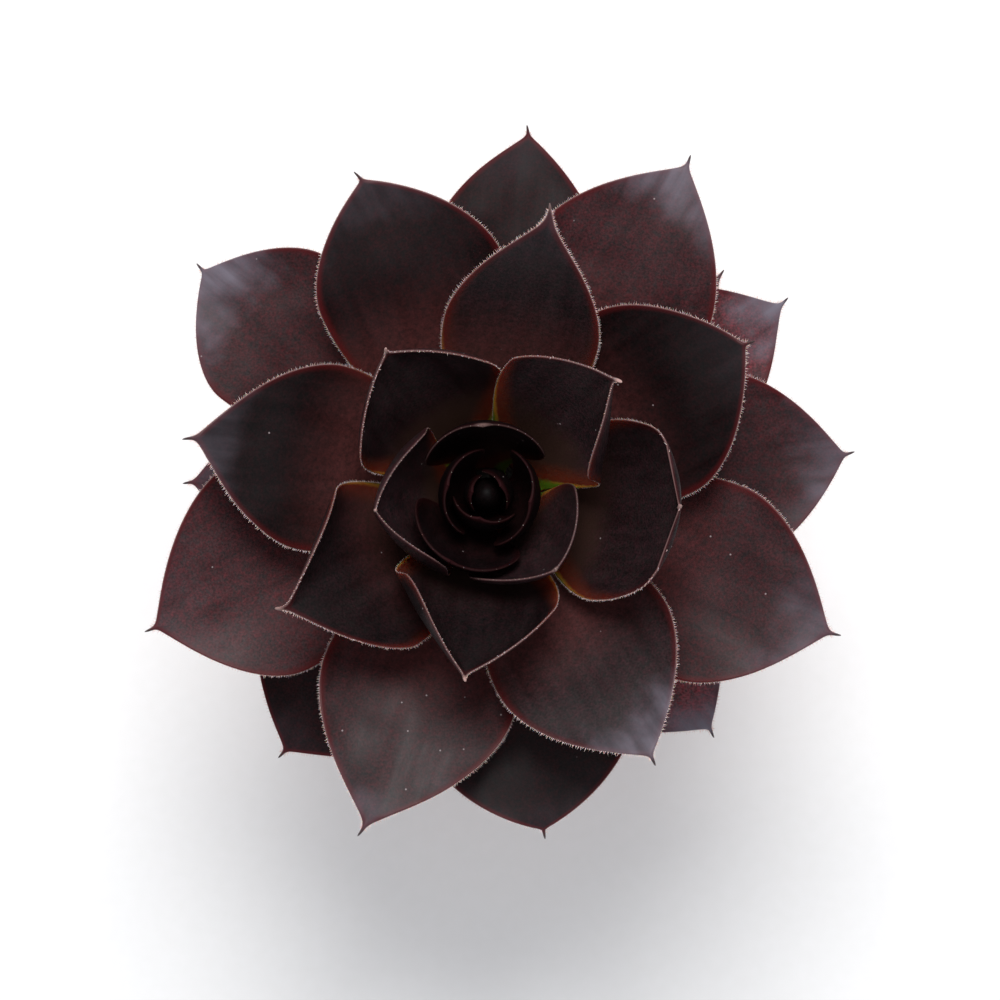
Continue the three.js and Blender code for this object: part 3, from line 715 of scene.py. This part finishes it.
def horny_margin(tree, at):
    """The margin itself, pale and horny."""
    rim = add(tree, "MapRange", [at.age, 0, 8, 0.05 * MM, 0.14 * MM])
    edged = add(tree, "MapRange", [at.from_margin, 0, rim, 0.4, 0])
    horny = add(tree, "MapRange", [at.opened, 0, 1, 0.06])
    share = add(tree, "Math", [edged, horny], operation="MULTIPLY")
    return share, "#947470"


def wax_and_painted_sheen(tree, at):
    """Grey wax at the tip of a grown leaf, where nothing rubs it off, and painted sheen where the tip
    catches the light. It reaches unevenly down the leaf and is worn in streaks."""
    clouded = add(tree, "Math", [at.patches, 0.3, at.along], operation="MULTIPLY_ADD")
    bloomed_and_sheen = add(tree, "MapRange", [clouded, 0.93, 1.13], interpolation_type="SMOOTHSTEP")
    worn = add(tree, "MapRange", [at.streaks, *NOISE_RANGE, 0.28, 0.85])
    thick = add(tree, "Math", [bloomed_and_sheen, at.bloom], operation="MULTIPLY")
    share = add(tree, "Math", [thick, worn], operation="MULTIPLY")
    # Grey wax, also painted sheen where the tip catches the light.
    return share, "#6d6670"


def dust(tree, at):
    """Grains of dust and dried drops, about 0.3 mm across and a few to each leaf."""
    cells = add(tree, "TexVoronoi", {"Vector": at.place, "Scale": 1 / (3.5 * MM)})
    chosen = add(tree, "SeparateColor", {"Color": cells.outputs["Color"]})
    grains = add(tree, "MapRange", [cells.outputs["Distance"], 0.03, 0.06, 0.8, 0])
    some = add(tree, "Math", [chosen.outputs["Red"], 0.6], operation="GREATER_THAN")
    share = add(tree, "Math", [grains, some], operation="MULTIPLY")
    return share, "#9a8c8c"


def mucro_horn(tree, at):
    """The mucro, pinkish white on a young open leaf. It dries dark red-brown."""
    dried = add(tree, "MapRange", [at.age, 6, 9, 1, 0])
    fresh = add(tree, "Math", [dried, at.opened], operation="MULTIPLY")
    horn = add(tree, "Mix", [fresh, "#2a1214", "#b8958e"], data_type="RGBA")
    share = add(tree, "MapRange", [at.from_tip, 0.7 * MM, 1.8 * MM, 0.9, 0])
    return share, horn


def fleshy_leaf_skin(name, shine):
    """A succulent's waxed epidermis, dark with red pigment: satin, with a grey bloom that wears off and
    holds painted sheen at the tips, and painted light and shade in each leaf's tone.
    """
    material, tree, shader, place = new_material(name)
    at = skin_readings(tree, place)
    at.skin = pigment(tree, at)
    for layer in (flush, margin_band, base_colours_and_painted_light, horny_margin, wax_and_painted_sheen, dust, mucro_horn):
        share, over = layer(tree, at)
        at.skin = add(tree, "Mix", [share, at.skin, over], data_type="RGBA")
    gloss = add(tree, "MapRange", [at.streaks, *NOISE_RANGE, 0.38, 0.54])
    dulled = add(tree, "MapRange", [at.age, 16, 21, shine, 0.4 * shine])
    pores = add(tree, "Bump", {"Height": at.flecks, "Distance": 0.06 * MM, "Strength": 0.5})
    give(tree, shader, {"Base Color": at.skin, "Roughness": gloss, "Normal": pores,
                        "Specular IOR Level": dulled, "Subsurface Weight": at.glow,
                        "Subsurface Scale": 3 * MM})
    return material


def leaf_hair():
    """Stiff hairs of clear cell wall: pinkish white and a little shiny."""
    material, tree, shader, place = new_material("aeonium_cilia_clear")
    clumps = add(tree, "TexNoise", {"Vector": place, "Scale": 1 / (2 * MM)})
    tint = add(tree, "Mix", [clumps, "#f0dcd6", "#d9a7a2"], data_type="RGBA")
    give(tree, shader, {"Base Color": tint, "Roughness": 0.45, "Subsurface Weight": 0.3,
                        "Subsurface Scale": 0.4 * MM})
    return material


def stem_bark():
    """Thin grey-brown cork over a fleshy stem: matt and fissured lengthways. Where leaves stand it turns
    near-black: painted shade under the leaves, over the young stem's own dark green.
    """
    material, tree, shader, place = new_material("aeonium_bark_corky")
    drawn = add(tree, "Mapping", {"Vector": place, "Scale": (1, 1, 0.3)})
    fissures = add(tree, "TexNoise", {"Vector": drawn, "Scale": 1 / (1.2 * MM), "Detail": 5})
    patches = add(tree, "TexNoise", {"Vector": place, "Scale": 1 / (7 * MM), "Detail": 3})
    cork = add(tree, "Mix", [fissures, "#4a3b2f", "#8b7a66"], data_type="RGBA")
    patch = add(tree, "MapRange", [patches, 0.4, 0.7, 0, 0.6])
    old = add(tree, "Mix", [patch, cork, "#9c9080"], data_type="RGBA")
    height = add(tree, "SeparateXYZ", [place])
    from_height, to_height = [(APEX.z - below) * MM for below in BARK_DARKENS]
    shade_under_leaves = add(tree, "MapRange", [height.outputs["Z"], from_height, to_height])
    # Near-black where leaves stand: painted shade under the leaves, over the young stem's dark green.
    whole = add(tree, "Mix", [shade_under_leaves, old, "#14120c"], data_type="RGBA")
    relief = add(tree, "Bump", {"Height": fissures, "Distance": 0.35 * MM})
    give(tree, shader, {"Base Color": whole, "Roughness": 0.82, "Normal": relief})
    return material


def fired_clay():
    """Unglazed terracotta, pressed and fired: matt orange-brown with grog, faint turning marks and lime."""
    material, tree, shader, place = new_material("terracotta_unglazed")
    clouds = add(tree, "TexNoise", {"Vector": place, "Scale": 1 / (22 * MM), "Detail": 4})
    grog = add(tree, "TexNoise", {"Vector": place, "Scale": 1 / (0.9 * MM), "Detail": 4})
    flat = add(tree, "Mapping", {"Vector": place, "Scale": (0.05, 0.05, 1)})
    turning = add(tree, "TexNoise", {"Vector": flat, "Scale": 1 / (2.2 * MM), "Detail": 2})
    clay = add(tree, "Mix", [clouds, "#9c5537", "#bd7552"], data_type="RGBA")
    speck = add(tree, "MapRange", [grog, 0.56, 0.7, 0, 0.45])
    specked = add(tree, "Mix", [speck, clay, "#d9a384"], data_type="RGBA")
    limed = add(tree, "MapRange", [clouds, 0.55, 0.8, 0, 0.5])
    whole = add(tree, "Mix", [limed, specked, "#d8c3b2"], data_type="RGBA")
    marks = add(tree, "Math", [turning, 0.5, grog], operation="MULTIPLY_ADD")
    relief = add(tree, "Bump", {"Height": marks, "Distance": 0.18 * MM})
    give(tree, shader, {"Base Color": whole, "Roughness": 0.88, "Normal": relief})
    return material


def potting_soil():
    """Dark peaty compost: matt, crumbly, with paler dry crumbs."""
    material, tree, shader, place = new_material("potting_soil_peaty")
    crumbs = add(tree, "TexNoise", {"Vector": place, "Scale": 1 / (1.3 * MM), "Detail": 6})
    contrast = add(tree, "MapRange", [crumbs, 0.35, 0.7])
    earth = add(tree, "Mix", [contrast, "#1c130d", "#4b3828"], data_type="RGBA")
    relief = add(tree, "Bump", {"Height": crumbs, "Distance": 0.9 * MM})
    give(tree, shader, {"Base Color": earth, "Roughness": 0.95, "Normal": relief})
    return material


def pumice_grit():
    """Crushed pumice and grit: pale grey to brown grains, dull and pitted."""
    material, tree, shader, place = new_material("grit_pumice")
    kinds = add(tree, "TexNoise", {"Vector": place, "Scale": 1 / (3 * MM), "Detail": 1})
    pits = add(tree, "TexNoise", {"Vector": place, "Scale": 1 / (0.4 * MM), "Detail": 3})
    kind = add(tree, "MapRange", [kinds, 0.4, 0.6])
    stone = add(tree, "Mix", [kind, "#3c2d21", "#a39887"], data_type="RGBA")
    relief = add(tree, "Bump", {"Height": pits, "Distance": 0.15 * MM})
    give(tree, shader, {"Base Color": stone, "Roughness": 0.9, "Normal": relief})
    return material


def backdrop_card():
    """Matt white card, with the faintest tooth."""
    material, tree, shader, place = new_material("backdrop_card_matt")
    tooth = add(tree, "TexNoise", {"Vector": place, "Scale": 1 / (3 * MM)})
    tint = add(tree, "Mix", [tooth, "#f4f3f1", "#f8f7f6"], data_type="RGBA")
    give(tree, shader, {"Base Color": tint, "Roughness": 0.9})
    return material


# ---------------------------------------------------------------- plant


def make_leaves(skin, bud_skin, hair):
    leaf_law = leaf_tree("Aeonium leaf", skin, hair)
    bud_law = leaf_tree("Aeonium bud leaf", bud_skin, hair)
    for i, leaf in enumerate(LEAVES):
        law = bud_law if leaf.age <= LAST_BUD_AGE else leaf_law
        piece = grown(new_piece(f"rosette_leaf_{i + 1:02d}"), law, leaf_sizes(leaf))
        attach(piece, "leaf", f"leaf_{i + 1:02d}")
    for i, leaf in enumerate(TIP_LEAVES):
        piece = grown(new_piece(f"bud_leaf_{i + 1}"), bud_law, leaf_sizes(leaf))
        attach(piece, "leaf", "growing_tip")


def make_bud_core(skin):
    centre = (APEX.x, APEX.y)
    rings = [ring(radius, APEX.z + height, TIP_CORE_SIDES, centre) for radius, height in TIP_CORE]
    low, high = [(*centre, APEX.z + height) for height in TIP_CORE_ENDS]
    core = ringed("bud_core", rings, low, high)
    core.data.materials.append(skin)
    for name, value in zip(LEAF_READINGS, CORE_READINGS):
        kept = core.data.attributes.new(name, "FLOAT", "POINT")
        kept.data.foreach_set("value", [value] * len(core.data.vertices))
    attach(core, "leaf", "growing_tip")


def bark_radius(azimuth, height, scars):
    """The stem's radius below the leaves, raised at each scar."""
    nearest = math.inf
    for scar_azimuth, scar_height in scars:
        along = (height - scar_height) / (SCAR["height"] / 2)
        if abs(along) > 2:  # too far away to matter
            continue
        turn = math.remainder(azimuth - scar_azimuth, 2 * math.pi)
        nearest = min(nearest, math.hypot(STEM_RADIUS * turn / (SCAR["width"] / 2), along))
    hollow = smoothstep(nearest, 1 - SCAR["softness"], 1 + SCAR["softness"])
    return STEM_RADIUS - SCAR["relief"] * hollow


def make_stem(bark):
    foot = SOIL_TOP - STEM_HOLE_DEPTH + GAP - APEX.z
    leafy_from = base_height(OLDEST_FULL_WHORL) - SCAR["height"]
    oldest_scar = math.floor((APEX.z - SOIL_TOP) / INTERNODE) + TOP_AGE
    ages = range(OLDEST_FULL_WHORL + 1, oldest_scar + 1)
    scars = [(leaf_azimuth(age), base_height(age)) for age in ages]
    rings = []
    for row in range(STEM_ROWS):
        height = foot * (1 - row / STEM_ROWS)
        points = []
        for side in range(STEM_SIDES):
            azimuth = 2 * math.pi * side / STEM_SIDES
            x, y = math.cos(azimuth), math.sin(azimuth)
            radius = stem_radius(height)
            if height < leafy_from:
                radius = bark_radius(azimuth, height, scars)
                radius += noise.noise(Vector((4 * x, 4 * y, height / 4))) * BARK_ROUGHNESS
            points.append((APEX.x + radius * x, APEX.y + radius * y, APEX.z + height))
        rings.append(points)
    stem = ringed("bare_stem", rings, (APEX.x, APEX.y, APEX.z + foot), (APEX.x, APEX.y, APEX.z))
    stem.data.materials.append(bark)
    attach(stem, "stem", "stem")


# ---------------------------------------------------------------- pot and soil


def pot_body_radius(height):
    return lerp(POT_FOOT_RADIUS, POT_BODY_TOP_RADIUS, height / POT_HEIGHT)


def pot_inner_radius(height):
    return lerp(POT_FLOOR_RADIUS, POT_MOUTH_RADIUS, (height - POT_FLOOR) / (POT_HEIGHT - POT_FLOOR))


def corner(x, z, start, end, size=POT_ROUND, steps=6):
    """Points round a corner of the pot's section, from one angle to another."""
    angles = [math.radians(lerp(start, end, i / steps)) for i in range(steps + 1)]
    return [(x + size * math.cos(a), z + size * math.sin(a)) for a in angles]


def straight(start, end, steps):
    """Points between two places of the pot's section, without the last."""
    return [(lerp(start[0], end[0], i / steps), lerp(start[1], end[1], i / steps)) for i in range(steps)]


def make_pot(clay):
    band_foot = POT_HEIGHT - POT_BAND_HEIGHT
    band_radius = pot_body_radius(band_foot) + POT_BAND_DEPTH
    wall_foot = POT_WALL_FROM_END
    wall_top = POT_HEIGHT - POT_WALL_FROM_END
    section = [
        *straight((POT_DRAIN_RADIUS, POT_FLOOR), (POT_DRAIN_RADIUS, 0), 4),
        *straight((POT_DRAIN_RADIUS, 0), (POT_FOOT_RADIUS - POT_ROUND, 0), 8),
        *corner(POT_FOOT_RADIUS - POT_ROUND, POT_ROUND, -90, 0),
        *straight((pot_body_radius(wall_foot), wall_foot), (pot_body_radius(band_foot), band_foot), 24),
        (pot_body_radius(band_foot), band_foot),
        *corner(band_radius - POT_ROUND, band_foot + POT_ROUND, -90, 0),
        *corner(POT_TOP_RADIUS - POT_ROUND, POT_HEIGHT - POT_ROUND, 0, 90),
        *corner(POT_MOUTH_RADIUS + POT_ROUND, POT_HEIGHT - POT_ROUND, 90, 180),
        *straight((pot_inner_radius(wall_top), wall_top), (POT_FLOOR_RADIUS, POT_FLOOR), 20),
        *straight((POT_FLOOR_RADIUS, POT_FLOOR), (POT_DRAIN_RADIUS, POT_FLOOR), 8),
    ]
    pot = ringed("clay_pot", [ring(radius, height, POT_SIDES) for radius, height in section])
    pot.data.materials.append(clay)
    attach(pot, "pot", "pot")


def soil_height(x, y):
    """Low waves of different lengths, with crumbs on them."""
    waves = (math.sin(x / 4.1 + 1) * math.cos(y / 5.3) + math.sin((x + y) / 7.7)
             + math.cos((x - 2 * y) / 9.1))
    crumbs = noise.fractal(Vector((x / SOIL_CRUMB_WIDTH, y / SOIL_CRUMB_WIDTH, 0)), 1, 2, 4)
    return SOIL_TOP + SOIL_LUMP * waves / 2 + SOIL_CRUMB * crumbs


def make_soil(earth):
    foot = POT_FLOOR + GAP
    edge = SOIL_TOP - SOIL_LUMP
    hole_radius = STEM_RADIUS - SCAR["relief"]
    centre = (APEX.x, APEX.y)
    rings = [ring(pot_inner_radius(foot) - GAP, foot, SOIL_SIDES)]
    rings.append(ring(pot_inner_radius(edge) - GAP, edge, SOIL_SIDES))
    for row in range(1, SOIL_ROWS + 1):
        share = row / SOIL_ROWS
        radius = lerp(pot_inner_radius(edge) - GAP, hole_radius, share)
        middle = (centre[0] * share, centre[1] * share)
        rise = smoothstep(share, 0, SOIL_LEVEL_EDGE)
        flat = ring(radius, 0, SOIL_SIDES, middle)
        rings.append([(x, y, lerp(edge, soil_height(x, y), rise)) for x, y, _ in flat])
    hole_foot = SOIL_TOP - STEM_HOLE_DEPTH
    rings.append(ring(hole_radius, hole_foot, SOIL_SIDES, centre))
    soil = ringed("potting_soil", rings, (0, 0, foot), (*centre, hole_foot))
    soil.data.materials.append(earth)
    attach(soil, "soil", "soil")
    return soil


def grit_tree(stone, soil):
    """Grains of grit sunk half into the top of the soil."""
    tree, sizes = geometry_tree("Grit on soil", ["Density", "Smallest", "Largest", "Seed"])
    ground = add(tree, "GeometryNodeObjectInfo", {"Object": soil})
    normal = add(tree, "SeparateXYZ", [add(tree, "GeometryNodeInputNormal")])
    place = add(tree, "SeparateXYZ", [add(tree, "GeometryNodeInputPosition")])
    upward = add(tree, "Math", [normal.outputs["Z"], STEEPEST_GROUND], operation="GREATER_THAN")
    high = add(tree, "Math", [place.outputs["Z"], (SOIL_TOP - GRIT_DEPTH) * MM],
               operation="GREATER_THAN")
    top = add(tree, "Math", [upward, high], operation="MULTIPLY")
    points = add(tree, "GeometryNodeDistributePointsOnFaces",
                 {"Mesh": ground.outputs["Geometry"], "Selection": top, "Density": sizes["Density"],
                  "Seed": sizes["Seed"]})
    pebble = add(tree, "GeometryNodeMeshUVSphere", {"Radius": 1, "Segments": 8, "Rings": 4})
    lumps = add(tree, "TexNoise", {"Scale": 1.1, "W": 2}, noise_dimensions="4D")
    dent = add(tree, "MapRange", [lumps, 0, 1, *GRAIN_DENTS])
    shape = add(tree, "VectorMath", [add(tree, "GeometryNodeInputNormal"), dent], operation="SCALE")
    broken = add(tree, "GeometryNodeSetPosition", {"Geometry": pebble, "Offset": shape})
    size = add(tree, "FunctionNodeRandomValue",
               {"Min": sizes["Smallest"], "Max": sizes["Largest"], "Seed": sizes["Seed"]})
    turn = add(tree, "FunctionNodeRandomValue", {"Max": [GRAIN_TURN] * 3, "Seed": sizes["Seed"]},
               data_type="FLOAT_VECTOR")
    grains = add(tree, "GeometryNodeInstanceOnPoints",
                 {"Points": points.outputs["Points"], "Instance": broken, "Rotation": turn, "Scale": size})
    real = add(tree, "GeometryNodeRealizeInstances", {"Geometry": grains})
    grit = add(tree, "GeometryNodeSetMaterial", {"Geometry": real, "Material": stone})
    add(tree, "NodeGroupOutput", {"Geometry": grit})
    return tree


def make_grit(stone, soil):
    sizes = {"Density": GRAINS_PER_SQUARE_METRE, "Smallest": GRAIN_RADIUS[0] * MM,
             "Largest": GRAIN_RADIUS[1] * MM, "Seed": GRAIN_SEED}
    grit = grown(new_piece("soil_grit"), grit_tree(stone, soil), sizes)
    attach(grit, "soil")


# ---------------------------------------------------------------- stage


def make_floor(card):
    corners = [(-1, -1), (1, -1), (1, 1), (-1, 1)]
    floor = new_piece("floor", [(x * FLOOR_REACH, y * FLOOR_REACH, 0) for x, y in corners], [(0, 1, 2, 3)])
    floor.data.materials.append(card)


def make_light(name, place, aim, size, power):
    light = bpy.data.lights.new(name, "AREA")
    light.shape = "DISK"
    light.size = size * MM
    light.energy = power
    obj = new_object(name, light)
    obj.location = Vector(place) * MM
    obj.rotation_euler = (Vector(aim) - Vector(place)).to_track_quat("-Z", "Y").to_euler()


def make_camera():
    data = bpy.data.cameras.new("camera")
    data.sensor_width = 36
    data.lens = data.sensor_width * (CAMERA_HEIGHT - FRAME_WIDTH_AT) / FRAME_WIDTH
    camera = new_object("camera", data)
    x, y = APEX.x + CAMERA_ASIDE[0], APEX.y + CAMERA_ASIDE[1]
    camera.location = Vector((x, y, CAMERA_HEIGHT)) * MM
    bpy.context.scene.camera = camera


def make_world():
    world = bpy.data.worlds.new("studio")
    bpy.context.scene.world = world
    world.use_nodes = True
    sky = world.node_tree.nodes["Background"]
    give(world.node_tree, sky, {"Color": SKY["colour"], "Strength": SKY["strength"]})


bud_skin = fleshy_leaf_skin("aeonium_bud_skin_waxed", BUD_SHINE)
make_leaves(fleshy_leaf_skin("aeonium_leaf_skin_waxed", LEAF_SHINE), bud_skin, leaf_hair())
make_bud_core(bud_skin)
make_stem(stem_bark())
make_pot(fired_clay())
soil = make_soil(potting_soil())
make_grit(pumice_grit(), soil)
make_floor(backdrop_card())
make_light("key", **KEY_LIGHT)
make_camera()
make_world()
bpy.context.scene.view_settings.view_transform = "Standard"
